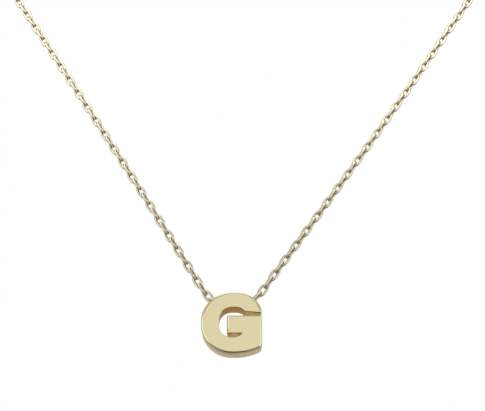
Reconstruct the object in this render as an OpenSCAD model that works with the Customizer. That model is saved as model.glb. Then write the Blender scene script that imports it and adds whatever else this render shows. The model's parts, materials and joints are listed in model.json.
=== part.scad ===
// Initial pendant: a polished block letter with a hole through its upper stroke, threaded
// on a fine cable chain that goes round the neck and closes with a spring ring at the nape.
// Sizes are millimetres. The origin is the centre of the neck, the letter's front faces -Y,
// and the letter hangs plumb from the chain's lowest stretch.

/* [Letter] */
// Width over the left stroke and the right foot
letter_w = 7.6; // [7.5:0.1:9]
// Height from the upper stroke to the lower stroke
letter_h = 8.08; // [7.8:0.02:9]
// Thickness from the front face to the back face
letter_t = 2.1; // [1.8:0.1:3]
// Radius of the two round corners on the left
round_r = 3.85; // [3.4:0.05:3.9]
// Radius of the round shoulder at the upper right
shoulder_r = 3; // [2.7:0.05:3]
// Length of the flat stretch at the letter's lowest place
flat_l = 0.3; // [0.1:0.05:0.5]
// Radius of the bowed edge that runs from the flat stretch to the foot
base_r = 7.3; // [6.5:0.1:12]
// Radius of the foot's corner, at the lower right
foot_r = 0.85; // [0.5:0.05:1.2]

/* [Strokes] */
// Width of the left stroke
stroke_left = 2.25; // [2:0.05:2.4]
// Height of the upper stroke over the counter, which the hole runs through
stroke_top = 2.01; // [1.87:0.01:2.2]
// Height of the lower stroke
stroke_bottom = 2.05; // [1.8:0.05:2.3]
// Width of the counter above the crossbar
counter_w = 3.5; // [3.4:0.05:3.7]
// How much narrower the counter is below the crossbar
counter_step = 0.2; // [0:0.05:0.25]
// Radius of the counter's round corners
counter_r = 1.6; // [1.4:0.05:1.65]
// Radius of the counter where it turns into the slit
hook_r = 1.4; // [1:0.05:1.5]
// Height of the upper stroke's end, over the slit
arm_h = 2.43; // [2.3:0.01:2.55]
// How far the upper stroke's end slopes down towards the right side
arm_drop = 0.32; // [0:0.01:0.4]
// Height of the slit between the upper stroke's end and the crossbar, at its inner end
slit_h = 0.66; // [0.5:0.02:0.8]
// Gap between the left stroke and the crossbar's end
bar_gap = 0.98; // [0.8:0.02:1.4]
// Gap under the crossbar
bar_under = 0.6; // [0.4:0.02:0.8]

/* [Chain] */
// Width of the tube that the chain's links lie in
chain_w = 1.02; // [0.9:0.02:1.06]
// Gap round the chain in the letter's hole
hole_gap = 0.24; // [0.2:0.01:0.25]
// Wall between the letter's hole and the counter
hole_floor = 0.25; // [0.2:0.01:0.3]
// Gap that parts two rings which hang in each other
link_gap = 0.05; // [0.03:0.01:0.1]
// Gap between the chain's end and the jump ring that it hangs on
end_gap = 0.1; // [0.05:0.05:0.3]

/* [Clasp] */
// Outer diameter of the spring ring
clasp_d = 5; // [4.5:0.1:6]
// Thickness of the spring ring's tube
clasp_wire = 0.9; // [0.7:0.05:1]
// Outer diameter of the eye that is soldered to the spring ring
eye_d = 1.8; // [1.7:0.1:2.4]
// Thickness of the wire of the eye and the jump rings
ring_wire = 0.4; // [0.3:0.05:0.5]
// Outer diameter of the jump rings
jump_d = 2.4; // [2.2:0.1:3]
// Length of the thumb lever that stands out of the spring ring
lever_l = 0.8; // [0.5:0.1:1.2]
// Thickness of the thumb lever
lever_d = 0.35; // [0.3:0.05:0.5]
// Diameter of the ball on the thumb lever
ball_d = 0.6; // [0.5:0.05:0.8]

/* [Hidden] */

pale_gold = "#dccb94";
round_fn = 96;

// The letter's edges, counted from the middle of its front
right = letter_w / 2;
left = -right;
top = letter_h / 2;
bottom = -top;
round_x = left + round_r;
round_high = top - round_r;
round_low = bottom + round_r;
shoulder_x = right - shoulder_r;
shoulder_z = top - shoulder_r;

// The foot's corner touches the bowed base edge and the right side
base_x = round_x + flat_l;
base_z = bottom + base_r;
foot_x = right - foot_r;
foot_z = base_z - sqrt(pow(base_r - foot_r, 2) - pow(foot_x - base_x, 2));

// The counter, the slit and the crossbar
counter_left = left + stroke_left;
counter_right = counter_left + counter_w;
counter_low_right = counter_right - counter_step;
counter_top = top - stroke_top;
counter_bottom = bottom + stroke_bottom;
hook_x = counter_right - hook_r;
hook_z = counter_top - hook_r;
slit_top = top - arm_h;
bar_top = slit_top - slit_h;
bar_bottom = counter_bottom + bar_under;
bar_left = counter_left + bar_gap;

// The hole through the upper stroke, and how far out its mouths lie on either side
hole_d = chain_w + 2 * hole_gap;
hole_z = counter_top + hole_floor + hole_d / 2;
mouth_left = sqrt(pow(round_r, 2) - pow(hole_z - round_high, 2)) - round_x;
mouth_right = sqrt(pow(shoulder_r, 2) - pow(hole_z - shoulder_z, 2)) + shoulder_x;

// The middle of the hole, where the letter hangs, and the nape, where the chain closes
hang = [-2.5, -58, -79.85];
nape = [0, 48, 33];

// Jump rings hang in the spring ring on the left and in its eye on the right
clasp_r = (clasp_d - clasp_wire) / 2;
eye_r = (eye_d - ring_wire) / 2;
jump_r = (jump_d - ring_wire) / 2;
solder = 0.3;
eye_x = clasp_d / 2 - solder + eye_d / 2;
jump_left_x = -(clasp_r - clasp_wire / 2 - ring_wire / 2 - link_gap + jump_r);
jump_right_x = eye_x + eye_r - ring_wire - link_gap + jump_r;
closure_left = jump_left_x - jump_d / 2 - end_gap;
closure_right = jump_right_x + jump_d / 2 + end_gap;
clasp_x = -(closure_left + closure_right) / 2;
lever_angle = 55;
lever_out = clasp_wire / 2 + lever_l;

// The chain turns up just outside the hole's left mouth and inside the right one, because the
// letter hangs off the middle of the loop
turn_outside = 0.07;
turn_inside = 0.24;
turn_reach = 1.2;

// The chain's route round the neck, from the clasp over the left side to the hole, and from
// the hole over the right side back to the clasp. The curve runs through the middle of each
// stretch between two points and rounds the points themselves.
strand_left = [[-13, 48, 33], [-27, 44.5, 32], [-45, 31, 27], [-57, 10, 19], [-59, -16, 10],
    [-53, -37, 0], [-42.6, -46.4, -14], [-33.3, -49.2, -30], [-19.4, -53.2, -54]];
strand_right = [[16.8, -53.2, -54], [31.3, -49.2, -30], [41.4, -46.4, -14], [53, -37, 0],
    [59, -16, 10], [57, 10, 19], [45, 31, 27], [27, 44.5, 32], [13, 48, 33]];
corner_left = hang - [mouth_left + turn_outside, 0, 0];
corner_right = hang + [mouth_right - turn_inside, 0, 0];
route = concat(
    [nape + [clasp_x + closure_left, 0, 0]],
    strand_left,
    [corner_left + turn_reach * unit(strand_left[8] - corner_left)],
    [corner_left, corner_left + [turn_reach, 0, 0]],
    [corner_right - [turn_reach, 0, 0], corner_right],
    [corner_right + turn_reach * unit(strand_right[0] - corner_right)],
    strand_right,
    [nape + [clasp_x + closure_right, 0, 0]]);
bend_steps = 3;
chain_sides = 8;

function unit(v) = v / norm(v);
function middle(a, b) = (a + b) / 2;
function bend(a, b, c, t) =
    pow(1 - t, 2) * middle(a, b) + 2 * t * (1 - t) * b + pow(t, 2) * middle(b, c);

// Points along the smooth curve that a route's control points give
function smooth(p) = let (last = len(p) - 1) concat(
    [p[0]],
    [for (i = [1:last - 1]) for (s = [0:bend_steps - 1])
        bend(p[i - 1], p[i], p[i + 1], s / bend_steps)],
    [middle(p[last - 1], p[last]), p[last]]);

// One ring of the chain's outer form, square to the path at point i
function ring_at(path, i, d) =
    let (
        last = len(path) - 1,
        along = unit(path[min(i + 1, last)] - path[max(i - 1, 0)]),
        out = unit(cross(along, [0, 0, 1])),
        up = cross(out, along))
    [for (k = [0:chain_sides - 1]) let (a = 360 * (k + 0.5) / chain_sides)
        path[i] + d / 2 * (cos(a) * out + sin(a) * up)];

// A closed tube along a path
module tube(path, d) {
    rings = len(path);
    points = [for (i = [0:rings - 1]) each ring_at(path, i, d)];
    start = [for (k = [0:chain_sides - 1]) k];
    end = [for (k = [chain_sides - 1:-1:0]) (rings - 1) * chain_sides + k];
    walls = [for (i = [0:rings - 2]) for (k = [0:chain_sides - 1])
        let (
            a = i * chain_sides + k,
            b = i * chain_sides + (k + 1) % chain_sides)
        each [[a, a + chain_sides, b], [b, a + chain_sides, b + chain_sides]]];
    polyhedron(points, concat([start], [end], walls), convexity = 8);
}

// A rectangle between two corners
module block(x1, z1, x2, z2) {
    translate([x1, z1]) square([x2 - x1, z2 - z1]);
}

// A disc in the letter's outline
module disc(x, z, r) {
    translate([x, z]) circle(r, $fn = round_fn);
}

// One of the round corners on the left, cut off where the strokes run on straight
module left_corner(z) {
    intersection() {
        disc(round_x, z, round_r);
        block(-letter_w, -letter_h, shoulder_x, letter_h);
    }
}

// The outer form: a round left side, a tighter shoulder, and a foot on a bowed base edge
module letter_outline() {
    left_corner(round_high);
    left_corner(round_low);
    disc(shoulder_x, shoulder_z, shoulder_r);
    block(left, round_low, round_x, round_high);
    block(round_x, round_low, shoulder_x, top);
    block(round_x, bottom, base_x, round_high);
    foot_way = unit([foot_x - base_x, foot_z - base_z]);
    intersection() {
        disc(base_x, base_z, base_r);
        polygon([[base_x, base_z], [base_x, base_z - 2 * base_r],
            [base_x, base_z] + 2 * base_r * foot_way]);
    }
    disc(foot_x, foot_z, foot_r);
    block(base_x, foot_z, right, shoulder_z);
}

// The inner space above and below the crossbar
module counter() {
    round_left = counter_left + counter_r;
    high = counter_top - counter_r;
    low = counter_bottom + counter_r;
    low_right = counter_low_right - counter_r;
    disc(round_left, high, counter_r);
    disc(round_left, low, counter_r);
    disc(low_right, low, counter_r);
    disc(hook_x, hook_z, hook_r);
    block(counter_left, low, counter_low_right, high);
    block(round_left, high, hook_x, counter_top);
    block(round_left, counter_bottom, low_right, low);
    block(round_left, high, counter_right, hook_z);
}

// The slit over the crossbar, whose upper side slopes down to the right
module slit() {
    over = letter_w;
    polygon([[hook_x, bar_top], [over, bar_top],
        [over, slit_top - arm_drop * (over - hook_x) / (right - hook_x)],
        [hook_x, slit_top]]);
}

// The letter's front view
module letter_face() {
    difference() {
        letter_outline();
        difference() {
            counter();
            block(bar_left, bar_bottom, right, bar_top);
        }
        slit();
    }
}

module letter() {
    color(pale_gold)
    translate(hang - [0, 0, hole_z])
    difference() {
        rotate([90, 0, 0])
            linear_extrude(letter_t, center = true) letter_face();
        translate([0, 0, hole_z]) rotate([0, 90, 0])
            cylinder(d = hole_d, h = 2 * letter_w, center = true, $fn = round_fn);
    }
}

module chain() {
    color(pale_gold) tube(smooth(route), chain_w);
}

// A round wire ring that lies flat
module wire_ring(r, wire) {
    rotate_extrude($fn = round_fn) translate([r, 0]) circle(d = wire, $fn = round_fn / 2);
}

// The spring ring with its eye and thumb lever, as one plain piece
module clasp() {
    color(pale_gold)
    translate(nape + [clasp_x, 0, 0])
    rotate([90, 0, 0]) {
        wire_ring(clasp_r, clasp_wire);
        translate([eye_x, 0, 0]) wire_ring(eye_r, ring_wire);
        rotate([0, 0, lever_angle]) translate([clasp_r, 0, 0]) rotate([0, 90, 0]) {
            cylinder(d = lever_d, h = lever_out, $fn = round_fn / 2);
            translate([0, 0, lever_out]) sphere(d = ball_d, $fn = round_fn / 2);
        }
    }
}

module jump_ring(x) {
    color(pale_gold)
    translate(nape + [clasp_x + x, 0, 0]) wire_ring(jump_r, ring_wire);
}

letter();
chain();
clasp();
jump_ring(jump_left_x);  // jump_ring_left
jump_ring(jump_right_x);  // jump_ring_right
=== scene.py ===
"""Initial pendant: a polished block letter threaded on a fine cable chain.

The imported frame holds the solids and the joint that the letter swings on. This script dresses
them: the letter with its rounded edges, the chain as interlocking links, the clasp and the
jump rings, and the studio. Lengths are metres, and MM turns millimetres into them.
"""

import json
import math

import bmesh
import bpy
import numpy as np
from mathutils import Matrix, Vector
from mathutils.bvhtree import BVHTree


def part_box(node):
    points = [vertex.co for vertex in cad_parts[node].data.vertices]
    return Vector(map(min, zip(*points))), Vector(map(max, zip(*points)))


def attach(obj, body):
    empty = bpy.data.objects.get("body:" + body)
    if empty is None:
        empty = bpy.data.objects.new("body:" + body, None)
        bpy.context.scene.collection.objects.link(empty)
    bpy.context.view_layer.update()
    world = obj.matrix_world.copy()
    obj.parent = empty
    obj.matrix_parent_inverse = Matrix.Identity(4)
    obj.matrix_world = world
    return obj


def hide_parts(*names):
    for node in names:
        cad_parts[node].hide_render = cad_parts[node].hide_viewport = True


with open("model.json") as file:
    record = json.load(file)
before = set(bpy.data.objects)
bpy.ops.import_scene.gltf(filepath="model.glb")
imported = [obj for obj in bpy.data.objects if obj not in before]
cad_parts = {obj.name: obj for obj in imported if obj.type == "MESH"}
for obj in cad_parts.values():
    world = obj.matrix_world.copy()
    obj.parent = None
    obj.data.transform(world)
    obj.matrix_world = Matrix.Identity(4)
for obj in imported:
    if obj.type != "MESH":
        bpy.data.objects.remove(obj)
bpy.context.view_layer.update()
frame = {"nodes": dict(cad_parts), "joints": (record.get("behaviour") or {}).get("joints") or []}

bl_info = {
    "name": "Initial pendant",
    "version": (1, 0, 0),
    "blender": (4, 5, 0),
    "location": "View3D > Sidebar > Pendant",
    "description": "Builds a polished initial pendant on a fine cable chain, and its studio",
    "category": "Add Mesh",
}

MM = 0.001
PHOTO_WIDTH = 485
UP = Vector((0, 0, 1))

# What the frame gives: the letter's box, and the middle of its hole, where it swings
LETTER_LOW, LETTER_HIGH = (Vector(corner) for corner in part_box("letter"))
LETTER_SIZE = LETTER_HIGH - LETTER_LOW
LETTER_MIDDLE = (LETTER_LOW + LETTER_HIGH) / 2
HANG = Vector(frame["joints"][0]["pos_m"])
RING_LEFT, RING_RIGHT = (
    tuple(Vector(corner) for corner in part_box(node))
    for node in ("jump_ring_left", "jump_ring_right")
)


def length(name, description, default):
    """A length that a user may change, in metres"""
    return bpy.props.FloatProperty(
        name=name, description=description, default=default, unit="LENGTH", precision=6)


def angle(name, description, degrees):
    """An angle that a user may change"""
    return bpy.props.FloatProperty(
        name=name, description=description, default=math.radians(degrees), subtype="ANGLE")


def linear(hex_colour):
    """The linear colour of an sRGB hex value"""
    parts = [int(hex_colour[i:i + 2], 16) / 255 for i in (1, 3, 5)]
    return tuple(c / 12.92 if c <= 0.04045 else ((c + 0.055) / 1.055) ** 2.4 for c in parts)


def colour(name, description, hex_colour):
    """A colour that a user may change, given as sRGB hex"""
    return bpy.props.FloatVectorProperty(
        name=name, description=description, default=linear(hex_colour), subtype="COLOR",
        min=0, max=1)


class LetterSizes(bpy.types.PropertyGroup):
    """Sizes of the block letter"""

    width: length("Width", "Over the left stroke and the right foot", LETTER_SIZE.x)
    height: length("Height", "From the upper stroke to the lower stroke", LETTER_SIZE.z)
    thickness: length("Thickness", "From the front face to the back face", LETTER_SIZE.y)
    round: length("Left radius", "Radius of the two round corners on the left", 3.85 * MM)
    shoulder: length("Shoulder radius", "Radius of the shoulder at the upper right", 3 * MM)
    flat: length("Flat stretch", "Length of the letter's lowest place", 0.3 * MM)
    base: length("Base radius", "Radius of the bowed edge before the foot", 7.3 * MM)
    foot: length("Foot radius", "Radius of the foot's corner", 0.85 * MM)
    stroke_left: length("Left stroke", "Width of the left stroke", 2.25 * MM)
    stroke_top: length("Upper stroke", "Height of the upper stroke", 2.01 * MM)
    stroke_bottom: length("Lower stroke", "Height of the lower stroke", 2.05 * MM)
    counter_width: length("Counter width", "Width of the inner space", 3.5 * MM)
    counter_step: length("Counter step", "How much narrower it is low down", 0.2 * MM)
    counter_round: length("Counter radius", "Radius of its round corners", 1.6 * MM)
    hook_round: length("Hook radius", "Radius where it turns into the slit", 1.4 * MM)
    arm: length("Arm height", "Height of the upper stroke's end", 2.43 * MM)
    arm_drop: length("Arm drop", "How far the arm slopes down to the right", 0.32 * MM)
    slit: length("Slit height", "Gap between arm and crossbar, at its inner end", 0.66 * MM)
    bar_gap: length("Bar gap", "Gap between left stroke and crossbar", 0.98 * MM)
    bar_under: length("Bar underside", "Gap under the crossbar", 0.6 * MM)
    hole: length("Hole", "Diameter of the hole that the chain runs through", 1.64 * MM)
    edge: length("Outer edge", "Radius on the outer edges and the crossbar's end", 0.3 * MM)
    bar_edge: length("Bar edge", "Radius along the crossbar's top", 0.2 * MM)
    inner_edge: length("Inner edge", "Radius of the edges of the inner space", 0.05 * MM)
    corner: length("Corner rounding", "Radius of the outline's own corners", 0.2 * MM)
    crease: length("Crease rounding", "Radius in the outline's inner corner", 0.06 * MM)


class ChainSizes(bpy.types.PropertyGroup):
    """Sizes of the cable chain"""

    wire: length("Wire", "Thickness of the wire", 0.35 * MM)
    width: length("Link width", "Width over a link", 1.14 * MM)
    fullness: bpy.props.FloatProperty(
        name="Fullness", description="2 for a true oval link, more for one with fuller ends",
        default=2.6, min=2)
    play: length("Play", "Gap between two links that hang in each other", 0.06 * MM)
    links: bpy.props.IntProperty(
        name="Links", description="How many links the whole chain has; an odd number",
        default=337, min=3)
    turn_left: angle("Turn, left", "How far the left strand is twisted", -14)
    turn_right: angle("Turn, right", "How far the right strand is twisted", 27)
    slip_left: length("Slip, left", "How far the left strand's links lie down the route", 0.55 * MM)
    slip_right: length("Slip, right", "How far the right strand's lie up the route", 0.98 * MM)


class Finishes(bpy.types.PropertyGroup):
    """Colours of the gold alloy's finishes; the satin, filed and inner ones are darker, browner
    copies of it that paint shade in the letter's recesses and between the chain's links
    """

    face: colour("Polished gold", "The letter's outside", "#E9DCB2")
    # The satin colour is deeper and browner than the polished one: painted shade on the walls of
    # the inner space and of the hole
    satin: colour("Satin gold", "The walls of the letter's inner space", "#CCA64C")
    # The filed colour is deeper than the polished one and paler than the satin: painted shade in
    # the gaps round the crossbar
    filed: colour("Filed gold", "The walls of the gaps round the crossbar", "#DCC688")
    wire: colour("Gold wire", "The chain", "#DDD5B6")
    # The inner wire colour is painted shade where the links hang in each other
    inner: colour("Inner wire", "The inner side of the chain's links", "#B5A070")
    clasp: colour("Clasp gold", "Clasp and jump rings", "#E2D09A")


class StudioSettings(bpy.types.PropertyGroup):
    """The studio round the pendant"""

    camera: bpy.props.FloatVectorProperty(
        name="Camera", description="Where the camera stands", subtype="TRANSLATION",
        unit="LENGTH", precision=5, default=(-1.14 * MM, -273.19 * MM, -163.02 * MM))
    tilt: angle("Camera tilt", "How far the camera looks up", 24.148)
    focal: bpy.props.FloatProperty(
        name="Focal length", description="Focal length in pixels of the photograph",
        default=1839.96, subtype="PIXEL")
    floor: length("Floor", "Height of the floor", -250 * MM)
    floor_size: length("Floor size", "Width of the floor", 4.0)
    board: colour("Floor colour", "Matt board", "#E9E8E4")


def settings():
    """The scene's own copy of the sizes and colours"""
    return bpy.context.scene.initial_pendant


def add_node(tree, kind, options=None, inputs=None):
    """Adds a node, sets its options, and fills or links its inputs"""
    node = tree.nodes.new(kind)
    for name, value in (options or {}).items():
        setattr(node, name, value)
    for name, value in (inputs or {}).items():
        if isinstance(value, bpy.types.NodeSocket):
            tree.links.new(value, node.inputs[name])
        else:
            node.inputs[name].default_value = value
    return node


def add_object(name, mesh, materials):
    """Puts a mesh in the scene, smooth all over"""
    thing = bpy.data.objects.new(name, mesh)
    for material in materials:
        mesh.materials.append(material)
    mesh.polygons.foreach_set("use_smooth", [True] * len(mesh.polygons))
    bpy.context.scene.collection.objects.link(thing)
    return thing


# Finishes

# How far the surface's ripple may stand out
RIPPLE_HEIGHT = 0.02 * MM

# Patches of the surface, some smoother and a little darker, others duller: their size, the span
# of the noise that makes them, and how far they change the roughness and the colour
PATCH_SIZE = 4 * MM
PATCH_FROM, PATCH_TO = 0.3, 0.7
PATCH_SMOOTH, PATCH_DULL = 0.8, 1.2
PATCH_DARK = 0.97


def new_material(name):
    """A material with an empty node tree, and that tree"""
    material = bpy.data.materials.new(name)
    material.use_nodes = True
    tree = material.node_tree
    tree.nodes.clear()
    return material, tree


def gold(name, base, roughness, ripple, ripple_size):
    """Gold alloy. The ripple is the faint unevenness of the surface, of a size in metres"""
    material, tree = new_material(name)
    place = add_node(tree, "ShaderNodeTexCoord").outputs["Object"]
    waves = add_node(
        tree, "ShaderNodeTexNoise", {"noise_dimensions": "3D"},
        {"Vector": place, "Scale": 1 / ripple_size, "Detail": 2.0, "Roughness": 0.5})
    bump = add_node(
        tree, "ShaderNodeBump", None,
        {"Height": waves.outputs["Fac"], "Strength": ripple, "Distance": RIPPLE_HEIGHT})
    tone = add_node(
        tree, "ShaderNodeTexNoise", {"noise_dimensions": "3D"},
        {"Vector": place, "Scale": 1 / PATCH_SIZE, "Detail": 1.0})
    dull = add_node(
        tree, "ShaderNodeMapRange", None,
        {"Value": tone.outputs["Fac"], "From Min": PATCH_FROM, "From Max": PATCH_TO,
         "To Min": roughness * PATCH_SMOOTH, "To Max": roughness * PATCH_DULL})
    shade = add_node(
        tree, "ShaderNodeMix", {"data_type": "RGBA"},
        {0: tone.outputs["Fac"], 6: (*[c * PATCH_DARK for c in base], 1), 7: (*base, 1)})
    shader = add_node(
        tree, "ShaderNodeBsdfPrincipled", None,
        {"Base Color": shade.outputs[2], "Metallic": 1.0, "Roughness": dull.outputs["Result"],
         "Normal": bump.outputs["Normal"]})
    add_node(tree, "ShaderNodeOutputMaterial", None, {"Surface": shader.outputs["BSDF"]})
    return material


def polished_cast_gold():
    """Pale gold alloy, cast and polished on a wheel: a near mirror with a faint ripple"""
    return gold("polished cast gold", settings().finishes.face, 0.1, 0.12, 1.5 * MM)


def satin_gold_painted_shade():
    """The same alloy where the wheel can't reach: a soft sheen, and a deeper, browner colour that
    is painted shade in the letter's inner space
    """
    return gold("satin gold, painted shade", settings().finishes.satin, 0.38, 0.3, 0.15 * MM)


def filed_gold_painted_shade():
    """The same alloy in the narrow gaps round the crossbar, which are cleaned with a fine file; its
    deeper colour is painted shade in the gaps
    """
    return gold("filed gold, painted shade", settings().finishes.filed, 0.3, 0.3, 0.15 * MM)


def drawn_gold_wire():
    """Drawn wire, soldered and tumbled bright: small sharp glints on every link"""
    return gold("drawn gold wire", settings().finishes.wire, 0.1, 0.15, 0.3 * MM)


def inner_wire_painted_shade():
    """The inner side of each link: duller, and browner with painted shade where the links hang in
    each other
    """
    return gold("inner wire, painted shade", settings().finishes.inner, 0.3, 0.2, 0.2 * MM)


def polished_gold_tube():
    """Seamless tube and wire of the clasp, polished by hand"""
    return gold("polished gold tube", settings().finishes.clasp, 0.14, 0.1, 0.8 * MM)


# The letter

# How finely its outline, its rounded edges and its hole are drawn
ARC_STEP = math.radians(3)
LINE_STEP = 0.2 * MM
EDGE_STEPS = 8
HOLE_SIDES = 64

# How fast an edge's radius may change with distance, and how much of the radius of an arc
# round the metal it may take
EDGE_SLOPE = 0.6
EDGE_SHARE = 0.9

# The sine of a bend that is too slight to be rounded, and the steps that find an arc's centre
TINY_TURN = 0.02
CENTRE_STEPS = 12

# The letter's finishes, as the order of its materials; the satin and filed gold carry painted shade
# on its inner walls
POLISHED, SATIN_PAINTED_SHADE, FILED_PAINTED_SHADE = 0, 1, 2


class Line:
    """A straight stretch of the outline, with the metal on its left"""

    limit = math.inf

    def __init__(self, start, end):
        self.start, self.end = Vector(start), Vector(end)
        along = (self.end - self.start).normalized()
        self.out = Vector((along.y, -along.x))

    def normal(self, point):
        return self.out

    def distance(self, point):
        return (point - self.start).dot(self.out)

    def nearest(self, point):
        return point - self.distance(point) * self.out

    def samples(self):
        way = self.end - self.start
        steps = max(1, math.ceil(way.length / LINE_STEP))
        return [(self.start + way * i / steps, self.out) for i in range(steps)]


class Arc:
    """A round stretch of the outline. turn is 1 where the metal lies within it, else -1"""

    def __init__(self, centre, radius, start, end, turn=1):
        self.centre, self.radius, self.turn = Vector(centre), radius, turn
        self.limit = EDGE_SHARE * radius if turn > 0 else math.inf
        self.start, self.end = (self.at(math.radians(a)) for a in (start, end))

    def at(self, a):
        return self.centre + self.radius * Vector((math.cos(a), math.sin(a)))

    def normal(self, point):
        return self.turn * (point - self.centre).normalized()

    def distance(self, point):
        return self.turn * ((point - self.centre).length - self.radius)

    def nearest(self, point):
        return self.centre + self.radius * (point - self.centre).normalized()

    def samples(self):
        first, last = (
            math.atan2(p.y - self.centre.y, p.x - self.centre.x) for p in (self.start, self.end))
        sweep = (last - first) * self.turn % (2 * math.pi)
        steps = max(2, math.ceil(sweep / ARC_STEP))
        points = [self.at(first + self.turn * sweep * i / steps) for i in range(steps)]
        return [(p, self.normal(p)) for p in points]


def letter_outline(s):
    """The letter's front view, once round from the slit's upper corner"""
    right, top = s.width / 2, s.height / 2
    round_x, round_z = s.round - right, top - s.round
    shoulder = Vector((right - s.shoulder, top - s.shoulder))
    base = Vector((round_x + s.flat, s.base - top))
    foot_x = right - s.foot
    foot_reach = s.base - s.foot
    foot = Vector((foot_x, base.y - math.sqrt(foot_reach ** 2 - (foot_x - base.x) ** 2)))
    foot_turn = math.degrees(math.atan2(foot.y - base.y, foot.x - base.x))
    counter_left = s.stroke_left - right
    counter_right = counter_left + s.counter_width
    counter_top, counter_bottom = top - s.stroke_top, s.stroke_bottom - top
    r = s.counter_round
    left_inside = counter_left + r
    high, low = counter_top - r, counter_bottom + r
    under = Vector((counter_right - s.counter_step - r, low))
    hook = Vector((counter_right - s.hook_round, counter_top - s.hook_round))
    bar_left = counter_left + s.bar_gap
    bar_bottom = counter_bottom + s.bar_under
    slit_top = top - s.arm
    bar_top = slit_top - s.slit
    arm_way = Vector((right - hook.x, -s.arm_drop)).normalized()
    arm_out = cross_circle(Vector((hook.x, slit_top)), arm_way, shoulder, s.shoulder)
    arm_in = cross_circle(Vector((hook.x, slit_top)), arm_way, hook, s.hook_round)
    under_out = cross_circle(Vector((under.x, bar_bottom)), Vector((1, 0)), under, r)
    outside = [
        Arc(shoulder, s.shoulder, turn_to(shoulder, arm_out), 90),
        Line((shoulder.x, top), (round_x, top)),
        Arc((round_x, round_z), s.round, 90, 180),
        Line((-right, round_z), (-right, -round_z)),
        Arc((round_x, -round_z), s.round, 180, 270),
        Line((round_x, -top), (base.x, -top)),
        Arc(base, s.base, -90, foot_turn),
        Arc(foot, s.foot, foot_turn, 0),
        Line((right, foot.y), (right, bar_top)),
    ]
    bar_top_edge = [Line((right, bar_top), (bar_left, bar_top))]
    bar_end = [Line((bar_left, bar_top), (bar_left, bar_bottom))]
    under_bar = [
        Line((bar_left, bar_bottom), under_out),
        Arc(under, r, turn_to(under, under_out), -90, -1),
        Line((under.x, counter_bottom), (left_inside, counter_bottom)),
    ]
    counter = [
        Arc((left_inside, low), r, -90, -180, -1),
        Line((counter_left, low), (counter_left, high)),
        Arc((left_inside, high), r, 180, 90, -1),
        Line((left_inside, counter_top), (hook.x, counter_top)),
        Arc(hook, s.hook_round, 90, turn_to(hook, arm_in), -1),
    ]
    arm_under = [Line(arm_in, arm_out)]
    # The walls of the inner space take the satin gold and those round the crossbar the filed gold,
    # whose deeper colours are painted shade
    parts = (
        (outside, s.edge, POLISHED), (bar_top_edge, s.bar_edge, FILED_PAINTED_SHADE), (bar_end, s.edge, FILED_PAINTED_SHADE),
        (under_bar, s.inner_edge, FILED_PAINTED_SHADE), (counter, s.inner_edge, SATIN_PAINTED_SHADE),
        (arm_under, s.inner_edge, FILED_PAINTED_SHADE))
    for strokes, edge, finish in parts:
        for stroke in strokes:
            stroke.edge, stroke.finish = edge, finish
    return [stroke for strokes, _, _ in parts for stroke in strokes]


def cross_circle(start, way, centre, radius):
    """Where a ray that starts within a circle leaves it"""
    along = (centre - start).dot(way)
    aside = (start + along * way - centre).length
    return start + (along + math.sqrt(radius ** 2 - aside ** 2)) * way


def turn_to(centre, point):
    """The angle at which a point lies round a centre, in degrees"""
    return math.degrees(math.atan2(point.y - centre.y, point.x - centre.x))


def centre_between(before, after, reach):
    """The point that lies reach outside both strokes, found from their shared corner"""
    point = after.start.copy()
    for _ in range(CENTRE_STEPS):
        a, b = before.normal(point), after.normal(point)
        step_a, step_b = reach - before.distance(point), reach - after.distance(point)
        point += Vector((step_a * b.y - step_b * a.y, a.x * step_b - b.x * step_a)) / a.cross(b)
    return point


def round_corners(strokes, corner, crease):
    """Puts an arc wherever two strokes of the outline meet at an angle"""
    rounded = []
    for before, after in zip(strokes[-1:] + strokes[:-1], strokes):
        bend = before.normal(after.start).cross(after.normal(after.start))
        if abs(bend) > TINY_TURN:
            turn = 1 if bend > 0 else -1
            radius = corner if turn > 0 else crease
            centre = centre_between(before, after, -turn * radius)
            arc = Arc(centre, radius, 0, 0, turn)
            arc.edge = min(before.edge, after.edge)
            arc.finish = min(before.finish, after.finish)
            arc.start = before.end = before.nearest(centre)
            arc.end = after.start = after.nearest(centre)
            rounded.append(arc)
        rounded.append(after)
    return rounded


def edge_point(bm, point, normal, edge, half, depth, inset, side):
    """One point of the rounding between a face and the wall. side is 1 in front, -1 behind"""
    point = point - normal * inset * edge
    return bm.verts.new(LETTER_MIDDLE + Vector((point.x, side * (depth * edge - half), point.y)))


def edge_radii(outline):
    """How round each point's edge is: as its stroke's, but passing gently into its neighbours'"""
    points = np.array([point for point, _, _ in outline])
    apart = np.linalg.norm(points[:, None] - points[None], axis=2)
    wanted = np.array([stroke.edge for _, _, stroke in outline])
    allowed = np.array([stroke.limit for _, _, stroke in outline])
    return np.minimum(
        (wanted[None] - EDGE_SLOPE * apart).max(axis=1),
        (allowed[None] + EDGE_SLOPE * apart).min(axis=1))


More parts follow.
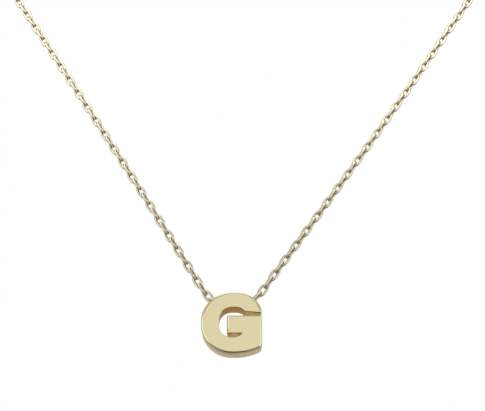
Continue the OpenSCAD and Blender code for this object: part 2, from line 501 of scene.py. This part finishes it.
def letter_mesh(s):
    """The solid letter with its rounded edges: rings of the outline from front to back"""
    strokes = round_corners(letter_outline(s), s.corner, s.crease)
    outline = [(*sample, stroke) for stroke in strokes for sample in stroke.samples()]
    half = s.thickness / 2
    turns = [math.pi / 2 * i / EDGE_STEPS for i in range(EDGE_STEPS + 1)]
    profile = [(1 - math.cos(a), 1 - math.sin(a), 1) for a in turns]
    profile += [(depth, inset, -1) for depth, inset, _ in reversed(profile)]
    count = len(outline)
    edges = edge_radii(outline)
    bm = bmesh.new()
    rings = [
        [edge_point(bm, p, n, edge, half, *step) for (p, n, _), edge in zip(outline, edges)]
        for step in profile]
    bm.faces.new(rings[0])
    bm.faces.new(reversed(rings[-1]))
    for near, far in zip(rings, rings[1:]):
        for i in range(count):
            j = (i + 1) % count
            face = bm.faces.new((near[i], far[i], far[j], near[j]))
            # Only the wall between the roundings takes its stroke's gold, so the painted shade of
            # the satin and filed gold lies on the inner walls
            face.material_index = outline[i][2].finish if near is rings[EDGE_STEPS] else POLISHED
    mesh = bpy.data.meshes.new("letter_polished")
    bm.to_mesh(mesh)
    bm.free()
    return mesh


def hole_cutter(s):
    """The drill that goes through the upper stroke from side to side"""
    bm = bmesh.new()
    bmesh.ops.create_cone(
        bm, cap_ends=True, segments=HOLE_SIDES, radius1=s.hole / 2, radius2=s.hole / 2,
        depth=2 * s.width)
    for vert in bm.verts:
        x, y, z = vert.co
        vert.co = HANG + Vector((z, x, y))
    # The hole's wall takes the satin gold, whose deeper colour is painted shade
    for face in bm.faces:
        face.material_index = SATIN_PAINTED_SHADE
    mesh = bpy.data.meshes.new("hole_cutter")
    bm.to_mesh(mesh)
    bm.free()
    return mesh


def apply_modifiers(thing):
    """Gives an object the mesh that its modifiers make"""
    shown = thing.evaluated_get(bpy.context.evaluated_depsgraph_get())
    mesh = bpy.data.meshes.new_from_object(shown)
    thing.modifiers.clear()
    old = thing.data
    thing.data = mesh
    mesh.name = thing.name
    bpy.data.meshes.remove(old)


def hole_is_open(mesh, width):
    """Whether a line that comes from the letter's left goes through the hole and meets no metal"""
    start = HANG - Vector((width, 0, 0))
    tree = BVHTree.FromPolygons([v.co for v in mesh.vertices], [p.vertices for p in mesh.polygons])
    return len(mesh.polygons) > 0 and tree.ray_cast(start, Vector((1, 0, 0)))[0] is None


class PENDANT_OT_letter(bpy.types.Operator):
    """Builds the polished letter with the hole that the chain runs through"""

    bl_idname = "pendant.letter"
    bl_label = "Letter"

    def execute(self, context):
        s = settings().letter
        finishes = [polished_cast_gold(), satin_gold_painted_shade(), filed_gold_painted_shade()]
        letter = add_object("letter_polished", letter_mesh(s), finishes)
        cutter = add_object("hole_cutter", hole_cutter(s), finishes)
        cut = letter.modifiers.new("hole", "BOOLEAN")
        cut.object, cut.solver = cutter, "EXACT"
        normals = letter.modifiers.new("flat faces", "WEIGHTED_NORMAL")
        normals.keep_sharp = True
        apply_modifiers(letter)
        old = cutter.data
        bpy.data.objects.remove(cutter)
        bpy.data.meshes.remove(old)
        if not hole_is_open(letter.data, s.width):
            raise RuntimeError("the hole for the chain isn't open")
        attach(letter, "pendant")
        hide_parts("letter")
        return {"FINISHED"}


# The chain

# The route's points in millimetres, as the solid's: down the left side and up the right side
STRAND_LEFT = [
    (-13, 48, 33), (-27, 44.5, 32), (-45, 31, 27), (-57, 10, 19), (-59, -16, 10),
    (-53, -37, 0), (-42.6, -46.4, -14), (-33.3, -49.2, -30), (-19.4, -53.2, -54)]
STRAND_RIGHT = [
    (16.8, -53.2, -54), (31.3, -49.2, -30), (41.4, -46.4, -14), (53, -37, 0), (59, -16, 10),
    (57, 10, 19), (45, 31, 27), (27, 44.5, 32), (13, 48, 33)]

# Where the route turns at the hole: how far outside its left mouth, how far inside its right
# one, and how far off the points lie that round each turn
TURN_OUTSIDE = 0.07 * MM
TURN_INSIDE = 0.24 * MM
TURN_REACH = 1.2 * MM

# How finely each bend of the route, each link and its wire are drawn
BEND_STEPS = 24
LINK_STEPS = 22
WIRE_SIDES = 10

# The wire's inner side, which gets painted shade: the cosine of the turn round a link past which
# its ends begin, and how many faces the side has to either side of its middle, at an end and
# elsewhere
END_COSINE = 0.7
INNER_AT_END, INNER_ELSEWHERE = 2, 1

# Shares of the chain's length at which a strand's own turn and slip are none, full on the
# left, still full, full on the right, still full, and none again
FADE = (0, 0.3, 0.49, 0.51, 0.7, 1)


def mouth_reach(letter, radius):
    """How far out the hole's mouth lies in a round corner of that radius"""
    drop = HANG.z - LETTER_MIDDLE.z - (letter.height / 2 - radius)
    return letter.width / 2 - radius + math.sqrt(radius ** 2 - drop ** 2)


def chain_route(letter, chain):
    """Points along the chain's middle, from the left jump ring to the right one"""
    left, right = ([Vector(p) * MM for p in strand] for strand in (STRAND_LEFT, STRAND_RIGHT))
    reach = Vector((TURN_REACH, 0, 0))
    corner_left = HANG - Vector((mouth_reach(letter, letter.round) + TURN_OUTSIDE, 0, 0))
    corner_right = HANG + Vector((mouth_reach(letter, letter.shoulder) - TURN_INSIDE, 0, 0))
    rest = ring_wire() + chain.play + chain.wire
    middle = (RING_LEFT[0] + RING_LEFT[1]) / 2
    start = Vector((RING_LEFT[0].x + rest, middle.y, middle.z))
    end = Vector((RING_RIGHT[1].x - rest, middle.y, middle.z))
    corners = [
        start, *left, corner_left + TURN_REACH * (left[-1] - corner_left).normalized(),
        corner_left, corner_left + reach, corner_right - reach, corner_right,
        corner_right + TURN_REACH * (right[0] - corner_right).normalized(), *right, end]
    return smooth(np.array(corners))


def smooth(p):
    """The curve through the middle of each stretch between two points, which rounds the points"""
    path = [p[:1]]
    t = (np.arange(BEND_STEPS) / BEND_STEPS)[:, None]
    for a, b, c in zip(p, p[1:], p[2:]):
        path.append((1 - t) ** 2 * (a + b) / 2 + 2 * t * (1 - t) * b + t ** 2 * (b + c) / 2)
    path += [(p[-2:-1] + p[-1:]) / 2, p[-1:]]
    return np.concatenate(path)


def ring_wire():
    """Thickness of the jump rings' wire"""
    return RING_LEFT[1].z - RING_LEFT[0].z


def link_form(chain, reach):
    """One oval link's points: how far along, across and square to the link"""
    turns = 2 * math.pi * np.arange(LINK_STEPS) / LINK_STEPS
    half = np.array([reach - chain.wire, chain.width - chain.wire]) / 2
    side = np.stack([np.cos(turns), np.sin(turns)], axis=1)
    share = np.sign(side) * np.abs(side) ** (2 / chain.fullness)
    middle = half * share
    out = unit(np.sign(side) * np.abs(share) ** (chain.fullness - 1) / half)
    sides = 2 * math.pi * np.arange(WIRE_SIDES) / WIRE_SIDES
    r = chain.wire / 2
    flat = middle[:, None, :] + r * np.cos(sides)[None, :, None] * out[:, None, :]
    height = np.broadcast_to(r * np.sin(sides)[None, :, None], (LINK_STEPS, WIRE_SIDES, 1))
    return np.concatenate([flat, height], axis=2).reshape(-1, 3)


def link_faces():
    """One link's faces, as rows of four point numbers"""
    i, k = np.meshgrid(np.arange(LINK_STEPS), np.arange(WIRE_SIDES), indexing="ij")
    next_i, next_k = (i + 1) % LINK_STEPS, (k + 1) % WIRE_SIDES
    corners = [(i, k), (next_i, k), (next_i, next_k), (i, next_k)]
    return np.stack([(a * WIRE_SIDES + b).ravel() for a, b in corners], axis=1)


def unit(rows):
    """Each row as a direction"""
    return rows / np.linalg.norm(rows, axis=1)[:, None]


def along_chain(share, left, right):
    """A value that each strand has its own of, and that fades out towards the nape"""
    return np.interp(share, FADE, (0, left, left, right, right, 0))


def link_painted_shade(count):
    """The material of each of so many faces: 1 for painted shade on the wire's inner side, else 0
    """
    step, side = np.divmod(np.arange(count) % (LINK_STEPS * WIRE_SIDES), WIRE_SIDES)
    at_end = np.abs(np.cos(2 * math.pi * step / LINK_STEPS)) > END_COSINE
    half = np.where(at_end, INNER_AT_END, INNER_ELSEWHERE)
    return (np.abs(side + 0.5 - WIRE_SIDES / 2) < half).astype(np.int32)


def chain_mesh(letter, chain):
    """All the links along the route, each a quarter turn from the last"""
    path = chain_route(letter, chain)
    reached = np.concatenate([[0], np.cumsum(np.linalg.norm(np.diff(path, axis=0), axis=1))])
    whole = reached[-1]
    grip = 2 * chain.wire + chain.play
    pitch = (whole - grip) / chain.links
    reach = pitch + grip
    number = np.arange(chain.links)
    share = (number + 0.5) / chain.links
    slip = along_chain(share, chain.slip_left, chain.slip_right)
    start = number * pitch + slip
    ends = [
        np.stack([np.interp(at, reached, path[:, axis]) for axis in range(3)], axis=1)
        for at in (start, start + reach)]
    middle = (ends[0] + ends[1]) / 2
    along = unit(ends[1] - ends[0])
    out = unit(np.cross(along, UP))
    up = np.cross(out, along)
    twist = along_chain(share, chain.turn_left, chain.turn_right)
    twist = (twist + math.pi / 2 * (number % 2))[:, None]
    square = np.cos(twist) * out + np.sin(twist) * up
    across = np.cross(square, along)
    form = link_form(chain, reach)
    points = (
        middle[:, None, :] + form[None, :, :1] * along[:, None, :]
        + form[None, :, 1:2] * across[:, None, :] + form[None, :, 2:] * square[:, None, :])
    faces = link_faces()[None] + (number * len(form))[:, None, None]
    mesh = bpy.data.meshes.new("chain_links")
    mesh.from_pydata(points.reshape(-1, 3), [], faces.reshape(-1, 4))
    # The inner side of each link gets the browner wire: painted shade between the links
    mesh.polygons.foreach_set("material_index", link_painted_shade(len(mesh.polygons)))
    return mesh


class PENDANT_OT_chain(bpy.types.Operator):
    """Builds the chain's interlocking links"""

    bl_idname = "pendant.chain"
    bl_label = "Chain"

    def execute(self, context):
        s = settings()
        mesh = chain_mesh(s.letter, s.chain)
        chain = add_object("chain_links", mesh, [drawn_gold_wire(), inner_wire_painted_shade()])
        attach(chain, "necklace")
        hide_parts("chain")
        return {"FINISHED"}


class PENDANT_OT_clasp(bpy.types.Operator):
    """Finishes the spring ring and the two jump rings"""

    bl_idname = "pendant.clasp"
    bl_label = "Clasp and jump rings"

    def execute(self, context):
        finish = polished_gold_tube()
        for name in ("clasp", "jump_ring_left", "jump_ring_right"):
            ring = frame["nodes"][name]
            ring.data.materials.clear()
            ring.data.materials.append(finish)
        return {"FINISHED"}


# The studio

# Soft cards round the pendant, as its metal sees them: how far to the right of the front and
# how high each one stands, how far it reaches evenly and with its soft rim, in degrees, how
# bright it is, and its colour
CARDS = [
    ("overhead", 0, 90, 16, 24, 1.3, "#FFFFFF"),
    ("rear floor", 180, -45, 20, 50, 0.42, "#FFF4E2"),
    ("rear wall", 180, 6, 18, 34, 0.62, "#FFF8EC"),
    ("rear window", 180, 28, 10, 20, 1.1, "#FFFBEA"),
    ("left softbox", -64, 6, 16, 38, 1.4, "#F8FBFF"),
    ("right softbox", 64, 6, 16, 38, 1.4, "#F8FBFF"),
    ("front left screen", -28, 10, 14, 20, 0.96, "#FFFFFF"),
    ("front right screen", 28, 10, 14, 20, 0.96, "#FFFFFF"),
    ("front softbox", 0, 12, 14, 19, 0.92, "#FFFFFF"),
    ("dark table", -8, -52, 14, 32, 0.08, "#FFFFFF"),
]

# How bright the room between the cards is
ROOM = 0.35

# A lit screen before the upper strands, which makes them paler upwards: its corners in
# millimetres, how bright it is, and the share of its height above which it is fully so
SCREEN = [(-90, -80, -50), (90, -80, -50), (90, -80, 40), (-90, -80, 40)]
SCREEN_BRIGHT = 2.6
SCREEN_FULL = 0.7

# The width of the camera's film in millimetres, and how near and how far it sees in metres
FILM_WIDTH = 36.0
NEAREST, FARTHEST = 0.005, 20


def direction(right, height):
    """The direction of a place that lies right of the front and so high, in degrees"""
    a, e = math.radians(right), math.radians(height)
    return Vector((math.sin(a) * math.cos(e), -math.cos(a) * math.cos(e), math.sin(e)))


def studio_world():
    """A white room for the camera, and soft cards for the metal to mirror"""
    world = bpy.data.worlds.new("studio")
    bpy.context.scene.world = world
    world.use_nodes = True
    tree = world.node_tree
    tree.nodes.clear()
    way = add_node(tree, "ShaderNodeTexCoord").outputs["Generated"]
    seen = (ROOM, ROOM, ROOM, 1)
    for _, right, height, even, rim, bright, tint in CARDS:
        facing = add_node(
            tree, "ShaderNodeVectorMath", {"operation": "DOT_PRODUCT"},
            {0: way, 1: direction(right, height)})
        cover = add_node(
            tree, "ShaderNodeMapRange", {"interpolation_type": "SMOOTHSTEP"},
            {"Value": facing.outputs["Value"], "From Min": math.cos(math.radians(rim)),
             "From Max": math.cos(math.radians(even)), "To Min": 0.0, "To Max": 1.0})
        card = (*[bright * c for c in linear(tint)], 1)
        seen = add_node(
            tree, "ShaderNodeMix", {"data_type": "RGBA"},
            {0: cover.outputs["Result"], 6: seen, 7: card}).outputs[2]
    mirrored = add_node(tree, "ShaderNodeBackground", None, {"Color": seen, "Strength": 1.0})
    white = add_node(
        tree, "ShaderNodeBackground", None, {"Color": (1, 1, 1, 1), "Strength": 1.0})
    ray = add_node(tree, "ShaderNodeLightPath")
    both = add_node(
        tree, "ShaderNodeMixShader", None,
        {0: ray.outputs["Is Camera Ray"], 1: mirrored.outputs[0], 2: white.outputs[0]})
    add_node(tree, "ShaderNodeOutputWorld", None, {"Surface": both.outputs[0]})


def matt_board(tint):
    """Matt white board: an even, chalky floor"""
    material, tree = new_material("matt board")
    shader = add_node(
        tree, "ShaderNodeBsdfPrincipled", None,
        {"Base Color": (*tint, 1), "Roughness": 0.9})
    add_node(tree, "ShaderNodeOutputMaterial", None, {"Surface": shader.outputs["BSDF"]})
    return material


def glowing_screen(bright):
    """A lit screen that gets weaker towards its lower edge"""
    material, tree = new_material("glowing screen")
    place = add_node(tree, "ShaderNodeTexCoord").outputs["Generated"]
    height = add_node(tree, "ShaderNodeSeparateXYZ", None, {0: place}).outputs["Z"]
    cover = add_node(
        tree, "ShaderNodeMapRange", {"interpolation_type": "SMOOTHSTEP"},
        {"Value": height, "From Min": 0.0, "From Max": SCREEN_FULL, "To Min": 0.0, "To Max": 1.0})
    clear = add_node(tree, "ShaderNodeBsdfTransparent")
    light = add_node(tree, "ShaderNodeEmission", None, {"Strength": bright})
    both = add_node(
        tree, "ShaderNodeMixShader", None,
        {0: cover.outputs["Result"], 1: clear.outputs[0], 2: light.outputs[0]})
    add_node(tree, "ShaderNodeOutputMaterial", None, {"Surface": both.outputs[0]})
    return material


def sheet(name, corners, material):
    """A flat sheet with four corners"""
    mesh = bpy.data.meshes.new(name)
    mesh.from_pydata(corners, [], [(0, 1, 2, 3)])
    return add_object(name, mesh, [material])


class PENDANT_OT_studio(bpy.types.Operator):
    """Sets up the camera, the light, the floor and the lit screen"""

    bl_idname = "pendant.studio"
    bl_label = "Studio"

    def execute(self, context):
        s = settings().studio
        scene = context.scene
        data = bpy.data.cameras.new("camera")
        data.sensor_fit, data.sensor_width = "HORIZONTAL", FILM_WIDTH
        data.lens = s.focal / PHOTO_WIDTH * data.sensor_width
        data.clip_start, data.clip_end = NEAREST, FARTHEST
        camera = bpy.data.objects.new("camera", data)
        camera.location = s.camera
        camera.rotation_euler = (math.pi / 2 + s.tilt, 0, 0)
        scene.collection.objects.link(camera)
        scene.camera = camera
        half = s.floor_size / 2
        corners = ((-half, -half), (half, -half), (half, half), (-half, half))
        floor = sheet("floor", [(x, y, s.floor) for x, y in corners], matt_board(s.board))
        floor.visible_glossy = False
        screen = sheet("screen", [Vector(p) * MM for p in SCREEN], glowing_screen(SCREEN_BRIGHT))
        screen.visible_camera = False
        studio_world()
        scene.view_settings.view_transform = "Standard"
        return {"FINISHED"}


class PendantSettings(bpy.types.PropertyGroup):
    """All that a user may change"""

    letter: bpy.props.PointerProperty(type=LetterSizes)
    chain: bpy.props.PointerProperty(type=ChainSizes)
    finishes: bpy.props.PointerProperty(type=Finishes)
    studio: bpy.props.PointerProperty(type=StudioSettings)


class PENDANT_PT_sidebar(bpy.types.Panel):
    """The pendant's pieces, in the order in which they are built"""

    bl_idname = "PENDANT_PT_sidebar"
    bl_label = "Initial pendant"
    bl_space_type = "VIEW_3D"
    bl_region_type = "UI"
    bl_category = "Pendant"

    def draw(self, context):
        for step in STEPS:
            self.layout.operator(step.bl_idname)


STEPS = (PENDANT_OT_studio, PENDANT_OT_letter, PENDANT_OT_chain, PENDANT_OT_clasp)
CLASSES = (
    LetterSizes, ChainSizes, Finishes, StudioSettings, PendantSettings, *STEPS,
    PENDANT_PT_sidebar)


def register():
    for kind in CLASSES:
        bpy.utils.register_class(kind)
    bpy.types.Scene.initial_pendant = bpy.props.PointerProperty(type=PendantSettings)


def unregister():
    del bpy.types.Scene.initial_pendant
    for kind in reversed(CLASSES):
        bpy.utils.unregister_class(kind)


def main():
    """Builds the studio and the pieces"""
    register()
    bpy.ops.pendant.studio()
    bpy.ops.pendant.letter()
    bpy.ops.pendant.chain()
    bpy.ops.pendant.clasp()


if __name__ == "__main__":
    main()
